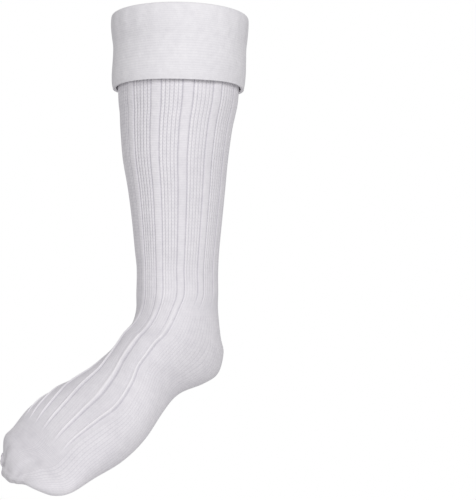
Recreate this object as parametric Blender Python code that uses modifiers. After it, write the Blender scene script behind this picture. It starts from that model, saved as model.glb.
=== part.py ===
"""Knee-length ribbed kilt hose sock for the right foot, worn on a hanging foot.

Metres. The leg runs down the Z axis from the fold of the turnover at the origin, the toes
point towards -Y and the inner side of the ankle faces +X. The foot hangs toes down and leans
inwards. The pieces are the turnover cuff, the ribbed leg with its instep, the heel pocket, the
plain sole and the toe cap, each a hollow knitted wall.
"""

import math

import bmesh
import bpy
from mathutils import Vector

# Driving sizes
SOCK_HEIGHT = 0.450  # fold of the turnover to the lowest toe
FOOT_LENGTH = 0.180  # leg centre line to the tip of the toes
FOOT_WIDTH = 0.104  # across the ball of the foot
CUFF_HEIGHT = 0.072  # depth of the turnover, fold to hem
WALL = 0.0020  # knitted wall of the leg and foot
CUFF_WALL = 0.0030  # brushed reverse side of the turnover
LAYER_AIR = 0.0020  # loose air between the leg and the turnover
RIB_RELIEF = 0.0012  # how far each narrow rib stands out of the broad panels
RIB_REPEATS = 12  # broad panel and narrow rib, round the leg
LIP_DEPTH = 0.020  # the turnover's inner layer, from the fold down to the leg
SEAM_GAP = 0.0003  # clearance where two pieces meet
STEP = 0.018  # half that clearance along the sections, in rows
EDGE = 0.6  # half that clearance round the leg, in degrees of knitting
HEEL_SUNK = RIB_RELIEF / 2  # the plain knit lies between the panels and the ribs

# Sections from the fold of the turnover to the toes. The reach and drop of the front and
# back edges are shares of FOOT_LENGTH and SOCK_HEIGHT, the half widths are shares of
# FOOT_WIDTH. "square" is the power of the rounded section, "lean" turns it towards the inner
# side in degrees, "rib_turn" is where the rib over the shin lies and "pitch" the angle
# between ribs over the instep, both in degrees.
COLUMNS = ("front", "front_drop", "back", "back_drop", "inner", "outer",
           "square", "lean", "rib_turn", "pitch")
SECTIONS = (
    (0.334, 0.000, -0.370, 0.000, 0.596, 0.590, 2.0, 0, 6, 30),  # fold
    (0.330, 0.100, -0.358, 0.100, 0.588, 0.588, 2.0, 0, 6, 30),  # under the turnover
    (0.330, 0.182, -0.346, 0.182, 0.570, 0.570, 2.0, 0, 6, 30),  # hem
    (0.324, 0.217, -0.331, 0.217, 0.543, 0.543, 2.0, 0, 6, 30),  # calf
    (0.323, 0.250, -0.313, 0.250, 0.518, 0.518, 2.0, 0, 6, 30),
    (0.312, 0.317, -0.291, 0.317, 0.477, 0.477, 2.0, 0, 6, 30),
    (0.284, 0.383, -0.278, 0.383, 0.432, 0.432, 2.0, 0, 6, 30),
    (0.263, 0.450, -0.263, 0.450, 0.393, 0.393, 2.0, 0, 6, 30),
    (0.248, 0.517, -0.248, 0.517, 0.361, 0.361, 2.0, 1, 5, 30),
    (0.238, 0.557, -0.244, 0.566, 0.346, 0.352, 2.0, 3, 2, 30),  # above the ankle
    (0.236, 0.613, -0.239, 0.611, 0.372, 0.377, 2.0, 6, -3, 30),
    (0.236, 0.647, -0.236, 0.652, 0.368, 0.366, 2.1, 9, -12, 29),  # top of the heel
    (0.272, 0.671, -0.260, 0.715, 0.380, 0.353, 2.2, 12, -18, 28),
    (0.320, 0.686, -0.303, 0.753, 0.370, 0.389, 2.3, 15, -22, 28),
    (0.354, 0.694, -0.281, 0.803, 0.353, 0.388, 2.4, 18, -25, 27),  # heel
    (0.401, 0.719, -0.172, 0.823, 0.354, 0.388, 2.4, 21, -27, 26),
    (0.432, 0.743, 0.009, 0.837, 0.344, 0.392, 2.3, 24, -28, 26),  # under the heel
    (0.476, 0.771, 0.174, 0.862, 0.408, 0.415, 2.3, 27, -26, 25),  # arch
    (0.565, 0.801, 0.324, 0.912, 0.459, 0.489, 2.3, 29, -23, 24),
    (0.680, 0.823, 0.478, 0.944, 0.503, 0.489, 2.3, 29, -13, 19),  # ball
    (0.784, 0.861, 0.665, 0.954, 0.519, 0.468, 2.4, 29, -8, 15),
    (0.868, 0.902, 0.812, 0.961, 0.534, 0.428, 2.4, 27, -6, 14),
    (0.943, 0.909, 0.884, 0.970, 0.492, 0.364, 2.4, 26, -6, 14),
    (0.969, 0.926, 0.936, 0.965, 0.428, 0.314, 2.3, 21, -6, 14),  # toes
    (0.978, 0.948, 0.971, 0.969, 0.300, 0.260, 2.0, 9, -6, 14),
)
HEEL_TOP = 11.2  # places along the sections, counted in rows
HEEL_FRONT = 16.0
TOE_LINE = 20.6
TOE_TIP = 24.0

# Toes under the toe cap, from the big toe outwards. "across" is a share of FOOT_WIDTH from
# the middle of the foot, "fill" how far each presses the cap forward as a share of
# FOOT_LENGTH, and the cap dips between them.
TOES = (
    (0.50, 0.000),
    (0.33, 0.008),  # big toe
    (0.23, 0.005),
    (0.16, 0.025),  # dip beside it
    (0.08, 0.035),  # second toe
    (-0.06, 0.030),
    (-0.20, -0.003),
    (-0.34, -0.023),  # little toe
    (-0.50, -0.035),
)
TOE_DIP = (0.16, 0.05, 0.20)  # where the dip lies, its width and its share of the height
TOE_PRESS = 15  # degrees below level at which the toes press the cap

# Turnover from the inside of the fold over the top and down to the hem. "out" is the share of
# the way from the leg's inner face to the turnover's outer face, "down" a share of CUFF_HEIGHT.
TURNOVER = (
    ("lip", 0.00, 0.280),  # ends at LIP_DEPTH
    ("inside", 0.00, 0.130),
    ("rise", 0.05, 0.045),
    ("fold_in", 0.24, 0.010),
    ("fold_top", 0.52, 0.000),
    ("fold_out", 0.96, 0.012),
    ("shoulder", 1.11, 0.055),
    ("flare", 1.15, 0.170),
    ("upper", 1.06, 0.300),
    ("waist", 0.90, 0.440),
    ("middle", 0.93, 0.600),
    ("lower", 1.02, 0.780),
    ("hem_roll", 1.00, 0.920),
    ("hem", 0.88, 1.000),
)


def section_at(place):
    """The section at a place along the sock, eased between the rows of the table."""
    row = min(int(place), len(SECTIONS) - 2)
    t = place - row
    start = SECTIONS[row]
    end = SECTIONS[row + 1]
    before = SECTIONS[row - 1] if row else [2 * a - b for a, b in zip(start, end)]
    after = SECTIONS[min(row + 2, len(SECTIONS) - 1)]
    eased = {}
    for name, p0, p1, p2, p3 in zip(COLUMNS, before, start, end, after):
        eased[name] = 0.5 * (
            2 * p1
            + (p2 - p0) * t
            + (2 * p0 - 5 * p1 + 4 * p2 - p3) * t * t
            + (3 * p1 - p0 - 3 * p2 + p3) * t ** 3
        )
    return eased


def rib_height(knit):
    """0 on a broad panel and 1 on a narrow rib; knit runs in degrees round the leg."""
    step = 360 / RIB_REPEATS
    off = abs((knit - 6 + step / 2) % step - step / 2)
    return min(max((7.5 - off) / 3.0, 0.0), 1.0)


def turn_at(section, knit):
    """Angle round the section where a column of the knitting lies."""
    half = 3 * section["pitch"]
    middle = section["rib_turn"] - half / 6
    along = (knit + 9 + 180) % 360 - 180
    if abs(along) <= 90:
        return middle + along / 90 * half
    past = (abs(along) - 90) / 90
    return middle + math.copysign(half + past * (180 - half), along)


def toe_fill(across):
    """How far the toes push the cap forward at a place across the foot."""
    share = max(min(across / FOOT_WIDTH, TOES[0][0]), TOES[-1][0])
    for (high, fill_high), (low, fill_low) in zip(TOES, TOES[1:]):
        if share >= low:
            t = (share - low) / (high - low)
            t = t * t * (3 - 2 * t)
            return (fill_low + (fill_high - fill_low) * t) * FOOT_LENGTH


def surface_point(place, knit, sunk=0.0):
    """A point of the outer face, sunk below it by a length."""
    section = section_at(place)
    front = Vector((0, -section["front"] * FOOT_LENGTH, -section["front_drop"] * SOCK_HEIGHT))
    back = Vector((0, -section["back"] * FOOT_LENGTH, -section["back_drop"] * SOCK_HEIGHT))
    middle = (front + back) / 2
    up = front - back
    tall = max(up.length / 2 - sunk, 0.0001)
    up.normalize()
    lean = math.radians(section["lean"])
    side = Vector((1, 0, 0))
    top = math.cos(lean) * up + math.sin(lean) * side
    inward = math.cos(lean) * side - math.sin(lean) * up
    turn = math.radians(turn_at(section, knit))
    power = 2 / section["square"]
    rise = math.copysign(abs(math.cos(turn)) ** power, math.cos(turn))
    run = math.copysign(abs(math.sin(turn)) ** power, math.sin(turn))
    half = max(section["inner" if run > 0 else "outer"] * FOOT_WIDTH - sunk, 0.0001)
    point = middle + top * (rise * tall) + inward * (run * half)
    if place > TOE_LINE:
        ease = min((place - TOE_LINE) / (TOE_TIP - TOE_LINE), 1.0)
        ease = ease * ease * (3 - 2 * ease)
        dip, width, depth = TOE_DIP
        near = math.exp(-((run * half / FOOT_WIDTH - dip) / width) ** 2)
        point -= top * (rise * tall * depth * near * ease)
        press = math.radians(TOE_PRESS)
        forward = Vector((0, -math.cos(press), -math.sin(press)))
        point += forward * toe_fill(run * half) * ease
    return point


def spread(start, end, count):
    return [start + (end - start) * i / count for i in range(count + 1)]


HEEL_PLACES = spread(HEEL_TOP, HEEL_FRONT, 10)
FOOT_PLACES = spread(HEEL_FRONT, TOE_LINE, 7)


def rib_columns(first, last):
    """Columns of the knitting that follow each narrow rib and the panel beside it."""
    step = 360 / RIB_REPEATS
    found = [first, last]
    for rib in range(-RIB_REPEATS, RIB_REPEATS + 1):
        for off in (-7.5, -4.5, 4.5, 7.5, 15.0):
            column = 6 + rib * step + off
            if first + 2 < column < last - 2:
                found.append(column)
    return sorted(found)


def lofted(name, rows, closed, wall, capped=False):
    """A knitted wall through rows of points, None where a row has no cloth."""
    mesh = bmesh.new()
    rings = [[point and mesh.verts.new(point) for point in row] for row in rows]
    for upper, lower in zip(rings, rings[1:]):
        count = len(upper)
        for i in range(count if closed else count - 1):
            j = (i + 1) % count
            corners = (upper[i], lower[i], lower[j], upper[j])
            if None not in corners:
                mesh.faces.new(corners)
    if capped:
        mesh.faces.new(rings[-1][::-1])
    for face in mesh.faces:
        face.smooth = True
    data = bpy.data.meshes.new(name)
    mesh.to_mesh(data)
    mesh.free()
    piece = bpy.data.objects.new(name, data)
    sock.objects.link(piece)
    shell = piece.modifiers.new("wall", "SOLIDIFY")
    shell.thickness = wall
    shell.offset = -1
    return piece


def ribbed(place, knit, fade=1.0):
    return surface_point(place, knit, RIB_RELIEF * fade * (1 - rib_height(knit)))


def turnover_point(out, down, knit):
    """A point of the turnover's outer face, as it wraps over the fold."""
    layers = WALL + LAYER_AIR + CUFF_WALL
    depth = down * CUFF_HEIGHT
    place = depth / (SECTIONS[1][1] * SOCK_HEIGHT)
    point = surface_point(place, knit, WALL - out * layers)
    point.z = -depth
    return point


def build_turnover():
    columns = spread(-99, 261, 48)[:-1]
    rows = []
    for name, out, down in TURNOVER:
        if name == "lip":
            down = LIP_DEPTH / CUFF_HEIGHT
        rows.append([turnover_point(out, down, knit) for knit in columns])
    return lofted("turnover_cuff", rows, True, CUFF_WALL)


def build_leg():
    """The ribbed tube, which runs on over the instep as a strip to the toe line."""
    top = (LIP_DEPTH + SEAM_GAP) / (SECTIONS[1][1] * SOCK_HEIGHT)
    front = rib_columns(-99 + EDGE, 81 - EDGE)
    back = rib_columns(81 + EDGE, 261 - EDGE)
    rows = []
    for place in spread(top, HEEL_TOP - STEP, 12):
        rows.append([ribbed(place, knit) for knit in front + back])
    for point in rows[0]:
        point.z = -LIP_DEPTH - SEAM_GAP
    for place in HEEL_PLACES[1:] + FOOT_PLACES[1:-1] + [TOE_LINE - STEP]:
        fade = min((TOE_LINE - place) / 0.8, 1.0)
        rows.append([ribbed(place, knit, fade) for knit in front] + [None] * len(back))
    return lofted("leg", rows, True, WALL)


def build_heel():
    rows = []
    for place in [HEEL_TOP + STEP] + HEEL_PLACES[1:-1] + [HEEL_FRONT - STEP]:
        rows.append([surface_point(place, knit, HEEL_SUNK) for knit in spread(81 + EDGE, 261 - EDGE, 22)])
    return lofted("heel", rows, False, WALL)


def build_sole():
    rows = []
    for place in [HEEL_FRONT + STEP] + FOOT_PLACES[1:-1] + [TOE_LINE - STEP]:
        rows.append([surface_point(place, knit, HEEL_SUNK) for knit in spread(81 + EDGE, 261 - EDGE, 22)])
    return lofted("sole", rows, False, WALL)


def build_toe():
    rows = []
    for place in spread(TOE_LINE + STEP, TOE_TIP, 11):
        rows.append([surface_point(place, knit, HEEL_SUNK) for knit in spread(-99, 261, 44)[:-1]])
    return lofted("toe", rows, True, WALL, capped=True)


def knitted(name, tone, rough):
    """Undyed white wool knit."""
    cloth = bpy.data.materials.new(name)
    cloth.use_nodes = True
    shader = cloth.node_tree.nodes["Principled BSDF"]
    shader.inputs["Base Color"].default_value = (*tone, 1)
    shader.inputs["Roughness"].default_value = rough
    shader.inputs["Sheen Weight"].default_value = 0.3
    return cloth


for old in list(bpy.data.objects):
    bpy.data.objects.remove(old)
sock = bpy.data.collections.new("kilt_hose_sock")
bpy.context.scene.collection.children.link(sock)

for build, cloth in (
    (build_turnover, knitted("turnover_knit", (0.84, 0.83, 0.85), 0.95)),
    (build_leg, knitted("rib_knit", (0.82, 0.81, 0.84), 0.9)),
    (build_heel, knitted("heel_knit", (0.81, 0.80, 0.83), 0.9)),
    (build_sole, knitted("sole_knit", (0.81, 0.80, 0.83), 0.9)),
    (build_toe, knitted("toe_knit", (0.81, 0.80, 0.83), 0.9)),
):
    piece = build()
    piece.data.materials.append(cloth)
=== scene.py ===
import math

import bmesh
import bpy
import numpy as np
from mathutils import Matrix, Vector


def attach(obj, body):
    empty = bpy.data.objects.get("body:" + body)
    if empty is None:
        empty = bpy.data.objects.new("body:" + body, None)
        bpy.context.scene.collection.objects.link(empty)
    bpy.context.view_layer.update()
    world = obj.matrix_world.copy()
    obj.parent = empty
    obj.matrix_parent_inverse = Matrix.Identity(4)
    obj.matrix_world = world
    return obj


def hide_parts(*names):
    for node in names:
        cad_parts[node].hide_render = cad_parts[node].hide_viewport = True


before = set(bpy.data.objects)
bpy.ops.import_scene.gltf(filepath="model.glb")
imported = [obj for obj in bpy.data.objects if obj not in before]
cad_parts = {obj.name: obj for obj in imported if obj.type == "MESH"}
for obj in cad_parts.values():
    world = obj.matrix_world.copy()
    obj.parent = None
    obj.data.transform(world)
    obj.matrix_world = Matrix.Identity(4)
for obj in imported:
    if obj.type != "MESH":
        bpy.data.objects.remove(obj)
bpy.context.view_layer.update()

scene = bpy.context.scene

# Sizes in metres, the same as the solids'.
SOCK_HEIGHT = 0.450
FOOT_LENGTH = 0.180
FOOT_WIDTH = 0.104
CUFF_HEIGHT = 0.072
WALL = 0.0020
CUFF_WALL = 0.0030
LAYER_AIR = 0.0020
LIP_DEPTH = 0.020
SEAM_GAP = 0.0003

# Sections of the worn sock from the fold to the toes. Front and back, and their drops, are
# shares of FOOT_LENGTH and SOCK_HEIGHT, inner and outer are shares of FOOT_WIDTH, and lean,
# rib_turn and pitch are degrees.
COLUMNS = ("front", "front_drop", "back", "back_drop", "inner", "outer",
           "square", "lean", "rib_turn", "pitch")
SECTIONS = np.array([
    (0.334, 0.000, -0.370, 0.000, 0.596, 0.590, 2.0, 0, 6, 30),  # fold
    (0.330, 0.100, -0.358, 0.100, 0.588, 0.588, 2.0, 0, 6, 30),  # under the turnover
    (0.330, 0.182, -0.346, 0.182, 0.570, 0.570, 2.0, 0, 6, 30),  # hem
    (0.324, 0.217, -0.331, 0.217, 0.543, 0.543, 2.0, 0, 6, 30),  # calf
    (0.323, 0.250, -0.313, 0.250, 0.518, 0.518, 2.0, 0, 6, 30),
    (0.312, 0.317, -0.291, 0.317, 0.477, 0.477, 2.0, 0, 6, 30),
    (0.284, 0.383, -0.278, 0.383, 0.432, 0.432, 2.0, 0, 6, 30),
    (0.263, 0.450, -0.263, 0.450, 0.393, 0.393, 2.0, 0, 6, 30),
    (0.248, 0.517, -0.248, 0.517, 0.361, 0.361, 2.0, 1, 5, 30),
    (0.238, 0.557, -0.244, 0.566, 0.346, 0.352, 2.0, 3, 2, 30),  # above the ankle
    (0.236, 0.613, -0.239, 0.611, 0.372, 0.377, 2.0, 6, -3, 30),
    (0.236, 0.647, -0.236, 0.652, 0.368, 0.366, 2.1, 9, -12, 29),  # top of the heel
    (0.272, 0.671, -0.260, 0.715, 0.380, 0.353, 2.2, 12, -18, 28),
    (0.320, 0.686, -0.303, 0.753, 0.370, 0.389, 2.3, 15, -22, 28),
    (0.354, 0.694, -0.281, 0.803, 0.353, 0.388, 2.4, 18, -25, 27),  # heel
    (0.401, 0.719, -0.172, 0.823, 0.354, 0.388, 2.4, 21, -27, 26),
    (0.432, 0.743, 0.009, 0.837, 0.344, 0.392, 2.3, 24, -28, 26),  # under the heel
    (0.476, 0.771, 0.174, 0.862, 0.408, 0.415, 2.3, 27, -26, 25),  # arch
    (0.565, 0.801, 0.324, 0.912, 0.459, 0.489, 2.3, 29, -23, 24),
    (0.680, 0.823, 0.478, 0.944, 0.503, 0.489, 2.3, 29, -13, 19),  # ball
    (0.784, 0.861, 0.665, 0.954, 0.519, 0.468, 2.4, 29, -8, 15),
    (0.868, 0.902, 0.812, 0.961, 0.534, 0.428, 2.4, 27, -6, 14),
    (0.943, 0.909, 0.884, 0.970, 0.492, 0.364, 2.4, 26, -6, 14),
    (0.969, 0.926, 0.936, 0.965, 0.428, 0.314, 2.3, 21, -6, 14),  # toes
    (0.978, 0.948, 0.971, 0.969, 0.300, 0.260, 2.0, 9, -6, 14),
])
# Places along the sock are counted in rows of SECTIONS.
HEEL_TOP = 11.2
FOOT_STARTS = 9.5
FOOT_EASES = 5.0  # places over which the leg's relief becomes the foot's
HEEL_FRONT = 16.0
TOE_LINE = 20.6
TOE_TIP = 24.0
# Across the foot as a share of FOOT_WIDTH, and how far forward as a share of FOOT_LENGTH.
TOES = np.array([
    (0.50, 0.000),
    (0.33, 0.008),  # big toe
    (0.23, 0.005),
    (0.16, 0.025),  # dip beside it
    (0.08, 0.035),  # second toe
    (-0.06, 0.030),
    (-0.20, -0.003),
    (-0.34, -0.023),  # little toe
    (-0.50, -0.035),
])
TOE_DIP = (0.16, 0.05, 0.20)  # where across the foot, how wide, and how much of the height
TOE_PRESS = 15  # degrees downwards in which the toes push the cap out
TIP_ROUND = 0.0028  # how far the closed tip rounds out past the last ring
# How far out as a share of the cloth's layers, and how far down as a share of CUFF_HEIGHT.
TURNOVER = np.array([
    (0.00, 0.280),  # ends at LIP_DEPTH
    (0.00, 0.130),
    (0.05, 0.045),
    (0.24, 0.010),
    (0.52, 0.000),
    (0.96, 0.012),
    (1.11, 0.055),
    (1.15, 0.170),
    (1.06, 0.300),
    (0.90, 0.440),
    (0.93, 0.600),
    (1.02, 0.780),
    (1.00, 0.920),
    (0.88, 1.000),
])

# Degrees of knitting round the sock. The ribbed half runs from KNIT_START to SIDE, and the
# half that is plain on the foot runs on from there to KNIT_END.
KNIT_START = -99
SIDE = 81
KNIT_END = 261
RIBBED_MIDDLE = -9
HALF_REPEATS = 3  # repeats on each side of RIBBED_MIDDLE
REPEAT = 30  # one narrow rib and one broad panel
RIB_MIDDLE = 6
RIB_WIDTH = 10
PANEL_WIDTH = 20
RIB_WALES = 3  # columns of stitches
PANEL_WALES = 5

# Rows of stitches.
COURSE = 0.0032  # height of a row, in metres
TURNOVER_COURSES = 2.4  # rows of stitches to a row of TURNOVER

# Relief in metres: three levels from the crests of the solids' ribs, then heights and depths
# on those levels and on the turnover.
PLAIN = -0.0006
PANEL = -0.00095
RIB = -0.00045
PANEL_WALE = 0.00022
RIB_CROWN = 0.00015
RIB_GROOVE = 0.00040
PANEL_EDGE = 0.0002
FOOT_RIDGE = 0.00115
FOOT_GROOVE = 0.00045
TURNOVER_WAVE = 0.0007
TURNOVER_RIB = 0.00022
HEM_WAVE = 0.0009

# Grid columns of the cloth: all round, and round half.
ROUND = 480
HALF = 240
WELD = 0.00001


def curve_through(rows, first, t):
    """Values a share t of the way from row first + 1 to the next, on a smooth curve."""
    p0, p1, p2, p3 = rows[first], rows[first + 1], rows[first + 2], rows[first + 3]
    return 0.5 * (2 * p1 + (p2 - p0) * t + (2 * p0 - 5 * p1 + 4 * p2 - p3) * t * t
                  + (3 * p1 - p0 - 3 * p2 + p3) * t ** 3)


def section_at(place):
    """Sections at places along the sock, eased between the rows."""
    row = np.clip(place.astype(int), 0, len(SECTIONS) - 2)
    rows = np.vstack([2 * SECTIONS[0] - SECTIONS[1], SECTIONS, SECTIONS[-1]])
    return dict(zip(COLUMNS, curve_through(rows, row, (place - row)[:, None]).T))


def smooth(x):
    """Eases from 0 to 1 as x does."""
    x = np.clip(x, 0, 1)
    return x * x * (3 - 2 * x)


def bell(x, middle, width):
    """1 at the middle, falling away to 0 on both sides."""
    return np.exp(-((x - middle) / width) ** 2)


def eased_row(table, x):
    """Smooth steps between the rows of a two-column table that falls in its first column."""
    keys = table[::-1, 0]
    values = table[::-1, 1]
    x = np.clip(x, keys[0], keys[-1])
    i = np.clip(np.searchsorted(keys, x, side="right") - 1, 0, len(keys) - 2)
    t = smooth((x - keys[i]) / (keys[i + 1] - keys[i]))
    return values[i] + (values[i + 1] - values[i]) * t


def base_point(place, knit):
    """The worn outline of the sock at places along it and degrees of knitting round it.

    Past TOE_TIP the last ring closes over the tips of the toes.
    """
    closing = np.clip(place - TOE_TIP, 0, 1)
    place = np.minimum(place, TOE_TIP)
    s = section_at(place)
    zero = np.zeros_like(place)
    front = np.stack([zero, -s["front"] * FOOT_LENGTH, -s["front_drop"] * SOCK_HEIGHT], 1)
    back = np.stack([zero, -s["back"] * FOOT_LENGTH, -s["back_drop"] * SOCK_HEIGHT], 1)
    up = front - back
    tall = np.linalg.norm(up, axis=1)
    up = up / tall[:, None]
    tall = tall / 2
    lean = np.radians(s["lean"])[:, None]
    side = np.array([1.0, 0, 0])
    top = np.cos(lean) * up + np.sin(lean) * side
    inward = np.cos(lean) * side - np.sin(lean) * up
    half_turn = HALF_REPEATS * s["pitch"]
    along = (knit - RIBBED_MIDDLE + 180) % 360 - 180
    far = np.sign(along) * (half_turn + (np.abs(along) - 90) / 90 * (180 - half_turn))
    near = along / 90 * half_turn
    turn = np.radians(s["rib_turn"] - half_turn / (2 * HALF_REPEATS)
                      + np.where(np.abs(along) <= 90, near, far))
    power = 2 / s["square"]
    rise = np.sign(np.cos(turn)) * np.abs(np.cos(turn)) ** power
    run = np.sign(np.sin(turn)) * np.abs(np.sin(turn)) ** power
    rise = rise * (1 - closing)
    run = run * (1 - closing)
    half = np.where(run > 0, s["inner"], s["outer"]) * FOOT_WIDTH
    point = (front + back) / 2 + top * (rise * tall)[:, None] + inward * (run * half)[:, None]
    ease = smooth((place - TOE_LINE) / (TOE_TIP - TOE_LINE))
    across = run * half / FOOT_WIDTH
    dip_middle, dip_width, dip_share = TOE_DIP
    dip = bell(across, dip_middle, dip_width) * dip_share
    point -= top * (rise * tall * dip * ease)[:, None]
    press = math.radians(TOE_PRESS)
    forward = np.array([0, -math.cos(press), -math.sin(press)])
    push = eased_row(TOES, across) * FOOT_LENGTH * ease
    push += TIP_ROUND * np.sqrt(1 - (1 - closing) ** 2)
    return point + forward * push[:, None]


def outward(place, knit):
    """Outward normals of the worn outline."""
    step = 0.02
    turn = 0.3
    place = np.minimum(place, TOE_TIP - 2 * step)
    down = base_point(place + step, knit) - base_point(place - step, knit)
    round_ = base_point(place, knit + turn) - base_point(place, knit - turn)
    normal = np.cross(down, round_)
    return normal / (np.linalg.norm(normal, axis=1)[:, None] + 1e-12)


def length_along():
    """Mean length of cloth from the fold to each place, for counting rows of stitches."""
    places = np.linspace(0, TOE_TIP, 481)
    total = np.zeros_like(places)
    lines = range(KNIT_START, KNIT_END, REPEAT)
    for knit in lines:
        points = base_point(places, np.full_like(places, knit))
        total[1:] += np.cumsum(np.linalg.norm(np.diff(points, axis=0), axis=1))
    return places, total / len(lines)


PLACES, LENGTHS = length_along()


def noise(x, y, seed):
    """Smooth wandering value, mostly between -1 and 1, the same on each run."""
    rng = np.random.RandomState(seed)
    total = 0
    for _ in range(7):
        a, b, c = rng.uniform(-1, 1), rng.uniform(-1, 1), rng.uniform(0, 6.28)
        total = total + np.sin(x * a * 2 + y * b * 2 + c)
    return total / 4.0


def on_the_foot(place):
    """0 on the leg, easing to 1 on the foot."""
    return smooth((place - FOOT_STARTS) / FOOT_EASES)


def from_rib(knit):
    """Degrees of knitting from the middle of the nearest narrow rib."""
    return (knit - RIB_MIDDLE + REPEAT / 2) % REPEAT - REPEAT / 2


def round_edge(place, knit):
    """1 in the ribbed cloth, falling to 0 where it meets the plain heel, sole and toe cap."""
    above_heel = smooth((HEEL_TOP - place) / 1.6)
    from_side = smooth(np.minimum(knit - KNIT_START, SIDE - knit) / 5)
    return np.maximum(above_heel, from_side) * smooth((TOE_LINE - place) / 0.8)


def rib_relief(place, knit):
    """Narrow ribs between broad panels of five wales, thinning to sharp ridges on the foot.

    The bells' middles and widths are degrees of knitting.
    """
    foot = on_the_foot(place)
    t = from_rib(knit)
    off = np.abs(t)
    wale = np.abs(np.sin(np.pi * (off - RIB_WIDTH / 2) / (PANEL_WIDTH / PANEL_WALES))) ** 0.6
    panel = PANEL + PANEL_WALE * wale * (1 - 0.8 * foot)
    rib = RIB + RIB_CROWN * np.cos(np.pi * t / RIB_WIDTH)
    on_leg = np.where(off < RIB_WIDTH / 2, rib, panel)
    on_leg = on_leg - RIB_GROOVE * bell(off, 5.0, 0.8) + PANEL_EDGE * bell(t, 6.8, 0.8)
    on_foot = panel + FOOT_RIDGE * bell(t, 0, 2.1) - FOOT_GROOVE * bell(t, 4.2, 1.3)
    relief = on_leg * (1 - foot) + on_foot * foot
    edge = round_edge(place, knit)
    return relief * edge + PLAIN * (1 - edge)


def plain_relief(place, knit):
    """Plain knit, a little below the ribs."""
    return np.full_like(place, PLAIN)


def rib_count(knit):
    """Wales counted round the leg: five to a broad panel, three to a narrow rib."""
    turned = knit - (RIB_MIDDLE + RIB_WIDTH / 2)
    repeats = np.floor(turned / REPEAT)
    t = turned - repeats * REPEAT
    in_panel = t / (PANEL_WIDTH / PANEL_WALES)
    in_rib = PANEL_WALES + (t - PANEL_WIDTH) / RIB_WIDTH * RIB_WALES
    return repeats * (PANEL_WALES + RIB_WALES) + np.where(t <= PANEL_WIDTH, in_panel, in_rib)


def plain_count(knit):
    """Wales counted round plain knit, as many to a repeat as in the ribbed cloth."""
    return (knit - RIB_MIDDLE) / (REPEAT / (PANEL_WALES + RIB_WALES))


def courses(place):
    """Rows of stitches counted along the sock."""
    return np.interp(place, PLACES, LENGTHS) / COURSE


def turnover_rows(row):
    """Rows of stitches counted along the turnover's profile."""
    return row * TURNOVER_COURSES


def worn(relief):
    """The worn outline with this relief, which fades as the toe closes."""
    def shape(place, knit):
        open_ring = 1 - np.clip(place - TOE_TIP, 0, 1)
        out = relief(place, knit) * open_ring
        return base_point(place, knit) + outward(place, knit) * out[:, None]
    return shape


def turnover_shape(row, knit):
    """The turnover's outer face: row counts along its profile table."""
    layers = WALL + LAYER_AIR + CUFF_WALL
    first = np.clip(row.astype(int), 0, len(TURNOVER) - 2)
    before = 2 * TURNOVER[0] - TURNOVER[1]
    after = 2 * TURNOVER[-1] - TURNOVER[-2]
    rows = np.vstack([before, TURNOVER, after])
    out, down = curve_through(rows, first, (row - first)[:, None]).T
    depth = down * CUFF_HEIGHT
    place = depth / (SECTIONS[1][1] * SOCK_HEIGHT)
    normal = outward(np.full_like(place, 1.0), knit)
    normal[:, 2] = 0
    normal /= np.linalg.norm(normal, axis=1)[:, None]
    point = base_point(np.maximum(place, 0), knit)
    point[:, 2] = -depth
    off = out * layers - WALL
    # The outer face starts at row 5 of the profile, and the hem at row 9.
    band = smooth((row - 5) / 2)
    off = off + band * TURNOVER_WAVE * noise(knit / 14, row / 1.6, 3)
    ribs = np.cos(2 * np.pi * (knit - RIB_MIDDLE) / (REPEAT / 2))
    off = off + band * TURNOVER_RIB * ribs * smooth((10 - row) / 4)
    point = point + normal * off[:, None]
    hem = smooth((row - 9) / 5)
    point[:, 2] += hem * HEM_WAVE * noise(knit / 22, row * 0, 11)
    return point


def rib_feel(place, knit):
    """How clear the stitches are, where the narrow ribs lie, and the painted shade of the grooves
    less the painted highlight on the crests.
    """
    foot = on_the_foot(place)
    t = from_rib(knit)
    off = np.abs(t)
    clear = (1 - 0.75 * smooth((place - 7.0) / 4.0)) * (0.55 + 0.45 * bell(knit, 15, 55))
    narrow = smooth((5.6 - off) / 0.8) * (1 - foot)
    # Painted shade in the grooves beside the ribs and ridges, and a painted highlight on their
    # crests.
    painted_groove_shade = 0.9 * bell(off, 5.2, 0.8) * (1 - foot) + 0.9 * bell(t, 4.0, 1.3) * foot
    painted_crest_highlight = 0.4 * bell(t, 6.9, 0.7) * (1 - foot) + 0.7 * bell(t, 0, 2.0) * foot
    painted_shade_and_highlight = (painted_groove_shade - painted_crest_highlight) * round_edge(place, knit)
    return {"clear": clear, "narrow": narrow, "painted_shade_and_highlight": painted_shade_and_highlight}


def even_feel(clear):
    """The same for cloth that is alike all over."""
    def feel(place, knit):
        zero = np.zeros_like(place)
        return {"clear": np.full_like(place, clear), "narrow": zero, "painted_shade_and_highlight": zero}
    return feel


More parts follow.
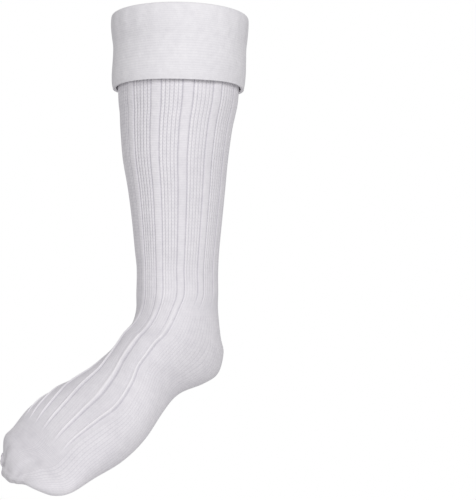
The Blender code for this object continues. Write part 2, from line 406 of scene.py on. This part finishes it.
def knitted_piece(name, patches, shape, count, rows_of, feel, wall):
    """Wraps flat grids of cloth round the foot, joins them and gives them their thickness.

    A patch is its first and last place, its rows, its first and last degree of knitting, and
    its columns.
    """
    cloth = bmesh.new()
    cloth.loops.layers.uv.new("UVMap")
    for first, last, rows, start, end, columns in patches:
        made = bmesh.ops.create_grid(cloth, x_segments=columns, y_segments=rows, size=1)
        for vert in made["verts"]:
            across = (vert.co.x + 1) / 2
            down = (vert.co.y + 1) / 2
            vert.co = (start + (end - start) * across, first + (last - first) * down, 0)
    data = bpy.data.meshes.new(name)
    cloth.to_mesh(data)
    cloth.free()
    flat = np.empty(len(data.vertices) * 3, np.float32)
    data.vertices.foreach_get("co", flat)
    flat = flat.reshape(-1, 3).astype(float)
    knit, place = np.round(flat[:, 0], 4), flat[:, 1]
    corner = np.empty(len(data.loops), np.int32)
    data.loops.foreach_get("vertex_index", corner)
    uv = np.stack([count(knit), rows_of(place)], 1)[corner]
    data.uv_layers["UVMap"].data.foreach_set("uv", uv.astype(np.float32).ravel())
    for kind, value in feel(place, knit).items():
        kept = data.attributes.new(kind, "FLOAT", "POINT")
        kept.data.foreach_set("value", value.astype(np.float32))
    data.vertices.foreach_set("co", shape(place, knit).astype(np.float32).ravel())
    data.update()
    cloth = bmesh.new()
    cloth.from_mesh(data)
    bmesh.ops.remove_doubles(cloth, verts=cloth.verts, dist=WELD)
    bmesh.ops.reverse_faces(cloth, faces=cloth.faces)
    for face in cloth.faces:
        face.smooth = True
    # Sharp at the cut edges, so that the rim doesn't shade the cloth beside a seam.
    for edge in cloth.edges:
        edge.smooth = not edge.is_boundary
    cloth.to_mesh(data)
    cloth.free()
    piece = bpy.data.objects.new(name, data)
    scene.collection.objects.link(piece)
    thick = piece.modifiers.new("cloth thickness", "SOLIDIFY")
    thick.thickness = wall
    thick.offset = -1
    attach(piece, "root")
    return piece


plain_feel = even_feel(0.35)
turnover_feel = even_feel(0.5)
top_place = (LIP_DEPTH + SEAM_GAP) / (SECTIONS[1][1] * SOCK_HEIGHT)
leg = knitted_piece("ribbed_leg_and_instep", [
    (top_place, HEEL_TOP, 60, KNIT_START, KNIT_END, ROUND),
    (HEEL_TOP, TOE_LINE, 64, KNIT_START, SIDE, HALF),
], worn(rib_relief), rib_count, courses, rib_feel, WALL)
heel = knitted_piece("heel_pocket", [
    (HEEL_TOP, HEEL_FRONT, 40, SIDE, KNIT_END, HALF),
], worn(plain_relief), plain_count, courses, plain_feel, WALL)
sole = knitted_piece("plain_sole", [
    (HEEL_FRONT, TOE_LINE, 44, SIDE, KNIT_END, HALF),
], worn(plain_relief), plain_count, courses, plain_feel, WALL)
toe = knitted_piece("toe_cap", [
    (TOE_LINE, TOE_TIP, 48, KNIT_START, KNIT_END, ROUND),
    (TOE_TIP, TOE_TIP + 1, 12, KNIT_START, KNIT_END, ROUND),
], worn(plain_relief), plain_count, courses, plain_feel, WALL)
cuff = knitted_piece("turned_over_cuff", [
    (0, len(TURNOVER) - 1, 78, KNIT_START, KNIT_END, ROUND),
], turnover_shape, plain_count, turnover_rows, turnover_feel, CUFF_WALL)
PIECES = ((leg, "leg", "rib_knit"), (heel, "heel", "heel_knit"), (sole, "sole", "sole_knit"),
          (toe, "toe", "toe_knit"), (cuff, "turnover_cuff", "turnover_knit"))
for piece, node, finish in PIECES:
    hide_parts(node)


def linear(code):
    """An sRGB hex colour as a linear RGBA."""
    found = []
    for i in (0, 2, 4):
        c = int(code[i:i + 2], 16) / 255
        found.append(c / 12.92 if c <= 0.04045 else ((c + 0.055) / 1.055) ** 2.4)
    return (*found, 1)


def add(tree, kind, links=None, **settings):
    """Adds a node with its settings, and links its inputs by name or number."""
    node = tree.nodes.new(kind)
    inputs = settings.pop("inputs", {})
    for key, value in settings.items():
        setattr(node, key, value)
    for key, value in inputs.items():
        node.inputs[key].default_value = value
    for key, source in (links or {}).items():
        tree.links.new(source, node.inputs[key])
    return node


def maths(tree, operation, a, b=None, c=None, clamp=False):
    """The output of a Math node on numbers and other nodes' outputs."""
    links = {}
    inputs = {}
    for i, value in enumerate((a, b, c)):
        if value is None:
            continue
        if isinstance(value, (int, float)):
            inputs[i] = value
        else:
            links[i] = value
    return add(tree, "ShaderNodeMath", links, operation=operation, inputs=inputs,
               use_clamp=clamp).outputs[0]


def mottle(tree, where, **inputs):
    """The value of a noise texture with these inputs."""
    return add(tree, "ShaderNodeTexNoise", {0: where}, inputs=inputs).outputs[0]


def wool_knit(name, light, shade, brushed=False):
    """Spun white wool knitted in rows: soft matt loops, with painted shade between the stitches.
    """
    cloth = bpy.data.materials.new(name)
    cloth.use_nodes = True
    tree = cloth.node_tree
    tree.nodes.clear()
    uv = add(tree, "ShaderNodeUVMap", uv_map="UVMap").outputs[0]
    parts = add(tree, "ShaderNodeSeparateXYZ", {0: uv}).outputs
    u, v = parts[0], parts[1]
    clear, narrow, painted_shade_and_highlight = [add(tree, "ShaderNodeAttribute", attribute_name=kind).outputs["Fac"]
                             for kind in ("clear", "narrow", "painted_shade_and_highlight")]
    place = add(tree, "ShaderNodeTexCoord").outputs["Object"]
    uneven = mottle(tree, uv, Scale=0.9, Detail=2.0)
    # The two legs of a stitch lean down to the middle of its wale, so the rows draw a V.
    within = maths(tree, "FRACT", u)
    arm = maths(tree, "ABSOLUTE", maths(tree, "SUBTRACT", within, 0.5))
    slant = maths(tree, "MULTIPLY_ADD", arm, 1.2, v)
    slant = maths(tree, "MULTIPLY_ADD", uneven, 0.5, slant)
    loop = maths(tree, "ABSOLUTE", maths(tree, "SINE", maths(tree, "MULTIPLY", slant, math.pi)))
    two_legs = maths(tree, "ABSOLUTE", maths(
        tree, "SINE", maths(tree, "MULTIPLY", u, 2 * math.pi)))
    wale = maths(tree, "ABSOLUTE", maths(tree, "SINE", maths(tree, "MULTIPLY", u, math.pi)))
    wale = maths(tree, "POWER", wale, 0.5)
    strand = maths(tree, "MULTIPLY_ADD", two_legs, 0.35, maths(tree, "MULTIPLY", loop, 0.35))
    stitch = maths(tree, "MULTIPLY", maths(tree, "ADD", strand, 0.3), wale)
    # The narrow ribs and the brushed side show the back of the knit: rows of low bumps.
    purl = maths(tree, "ABSOLUTE", maths(tree, "SINE", maths(tree, "MULTIPLY", v, 2 * math.pi)))
    purl = maths(tree, "MULTIPLY_ADD", maths(tree, "MULTIPLY", purl, uneven), 0.5, 0.5)
    if brushed:
        knit = purl
    else:
        mix = {0: narrow, 2: stitch, 3: purl}
        knit = add(tree, "ShaderNodeMix", mix, data_type="FLOAT").outputs[0]
    knit = maths(tree, "MULTIPLY", maths(tree, "SUBTRACT", knit, 0.6), clear)
    fuzz = mottle(tree, place, Scale=700.0, Detail=3.0, Roughness=0.7)
    lumps = mottle(tree, place, Scale=150.0, Detail=3.0)
    wash = mottle(tree, place, Scale=22.0, Detail=2.0)
    height = maths(tree, "MULTIPLY_ADD", lumps, 1.2 if brushed else 0.5, knit)
    height = maths(tree, "MULTIPLY_ADD", fuzz, 0.5 if brushed else 0.3, height)
    bump = add(tree, "ShaderNodeBump", {"Height": height},
               inputs={"Strength": 0.8, "Distance": 0.0006}).outputs[0]
    # Painted shade and highlight: the colour runs from the lit wool to its painted shade, darker
    # in the gaps between loops and rows, darker in the rib grooves and lighter on the crests,
    # while wash and lumps add random mottle.
    painted_shading_and_mottle = maths(tree, "MULTIPLY_ADD", knit, 0.9, 0.72)
    painted_shading_and_mottle = maths(tree, "MULTIPLY_ADD", painted_shade_and_highlight, -0.45, painted_shading_and_mottle)
    painted_shading_and_mottle = maths(tree, "MULTIPLY_ADD", maths(tree, "SUBTRACT", wash, 0.5), 0.25, painted_shading_and_mottle)
    painted_shading_and_mottle = maths(tree, "MULTIPLY_ADD", maths(tree, "SUBTRACT", lumps, 0.5), 0.3, painted_shading_and_mottle, clamp=True)
    colour = add(tree, "ShaderNodeMix", {0: painted_shading_and_mottle}, data_type="RGBA")
    colour.inputs[6].default_value = linear(shade)
    colour.inputs[7].default_value = linear(light)
    shader = add(tree, "ShaderNodeBsdfPrincipled", {
        "Base Color": colour.outputs[2], "Normal": bump}, inputs={
        "Roughness": 0.95, "IOR": 1.45, "Specular IOR Level": 0.25, "Sheen Weight": 0.1,
        "Sheen Roughness": 0.5})
    add(tree, "ShaderNodeOutputMaterial", {0: shader.outputs[0]})
    return cloth


# Each pair is a lit colour and a painted-shade copy of the same white wool.
WOOL_LIT_AND_SHADED = ("f6f3f7", "b9b6c0")  # the lit wool and its painted shade
BRUSHED_WOOL_LIT_AND_SHADED = ("f7f5f8", "c2bfc8")
LOOKS = {
    "leg": wool_knit("white_wool_broad_rib", *WOOL_LIT_AND_SHADED),
    "heel": wool_knit("white_wool_plain_heel", *WOOL_LIT_AND_SHADED),
    "sole": wool_knit("white_wool_plain_sole", *WOOL_LIT_AND_SHADED),
    "toe": wool_knit("white_wool_plain_toe", *WOOL_LIT_AND_SHADED),
    "turnover_cuff": wool_knit("white_wool_brushed_turnover", *BRUSHED_WOOL_LIT_AND_SHADED, brushed=True),
}
for piece, node, _ in PIECES:
    piece.data.materials.append(LOOKS[node])


def matt_card(name, code):
    """Plain matt paper."""
    card = bpy.data.materials.new(name)
    card.use_nodes = True
    shader = card.node_tree.nodes["Principled BSDF"]
    shader.inputs["Base Color"].default_value = linear(code)
    shader.inputs["Roughness"].default_value = 1.0
    shader.inputs["Specular IOR Level"].default_value = 0.0
    return card


FLOOR_RADIUS = 0.9
FLOOR_DROP = 0.75  # below the fold
paper = bmesh.new()
bmesh.ops.create_circle(paper, cap_ends=True, segments=96, radius=FLOOR_RADIUS)
bmesh.ops.translate(paper, vec=(0, 0, -FLOOR_DROP), verts=paper.verts)
sheet = bpy.data.meshes.new("studio_floor")
paper.to_mesh(sheet)
paper.free()
floor = bpy.data.objects.new("studio_floor", sheet)
floor.data.materials.append(matt_card("white_paper", "ffffff"))
scene.collection.objects.link(floor)

# The photograph's view: level, and turned from the sock's front towards its inner side.
VIEW_TURN = math.radians(53.1)
VIEW_DISTANCE = 0.988
VIEW_RIGHT = 0.0605
VIEW_DROP = 0.2325
PHOTO_WIDTH = 476  # pixels
FOCAL_PIXELS = 988
SENSOR = 36
towards = Vector((math.sin(VIEW_TURN), -math.cos(VIEW_TURN), 0))
right = Vector((math.cos(VIEW_TURN), math.sin(VIEW_TURN), 0))
lens = bpy.data.cameras.new("photo_view")
lens.sensor_fit = "HORIZONTAL"
lens.sensor_width = SENSOR
lens.lens = SENSOR * FOCAL_PIXELS / PHOTO_WIDTH
lens.clip_start = 0.05
camera = bpy.data.objects.new("photo_view", lens)
camera.location = towards * VIEW_DISTANCE + right * VIEW_RIGHT + Vector((0, 0, -VIEW_DROP))
camera.rotation_euler = (math.radians(90), 0, VIEW_TURN)
scene.collection.objects.link(camera)
scene.camera = camera


def softbox(name, place, aim, size, power):
    """A round area light aimed at a point."""
    lamp = bpy.data.lights.new(name, "AREA")
    lamp.shape = "DISK"
    lamp.size = size
    lamp.energy = power
    shown = bpy.data.objects.new(name, lamp)
    shown.location = place
    shown.rotation_euler = (aim - place).to_track_quat("-Z", "Y").to_euler()
    scene.collection.objects.link(shown)


middle = Vector((0, -0.03, -0.23))
softbox("key", middle + towards * 1.6 + right * 0.8 + Vector((0, 0, 0.9)), middle, 0.8, 15)
softbox("fill", middle + towards * 1.8 - right * 0.5 + Vector((0, 0, 0.3)), middle, 1.2, 7)

# The camera sees a white room, and the sock is lit by ROOM of it.
ROOM = 0.42
world = bpy.data.worlds.new("white_room")
scene.world = world
world.use_nodes = True
sky = world.node_tree.nodes["Background"]
sky.inputs["Color"].default_value = (1, 1, 1, 1)
seen = add(world.node_tree, "ShaderNodeLightPath").outputs["Is Camera Ray"]
world.node_tree.links.new(maths(world.node_tree, "MULTIPLY_ADD", seen, 1 - ROOM, ROOM),
                          sky.inputs["Strength"])
scene.view_settings.view_transform = "Standard"
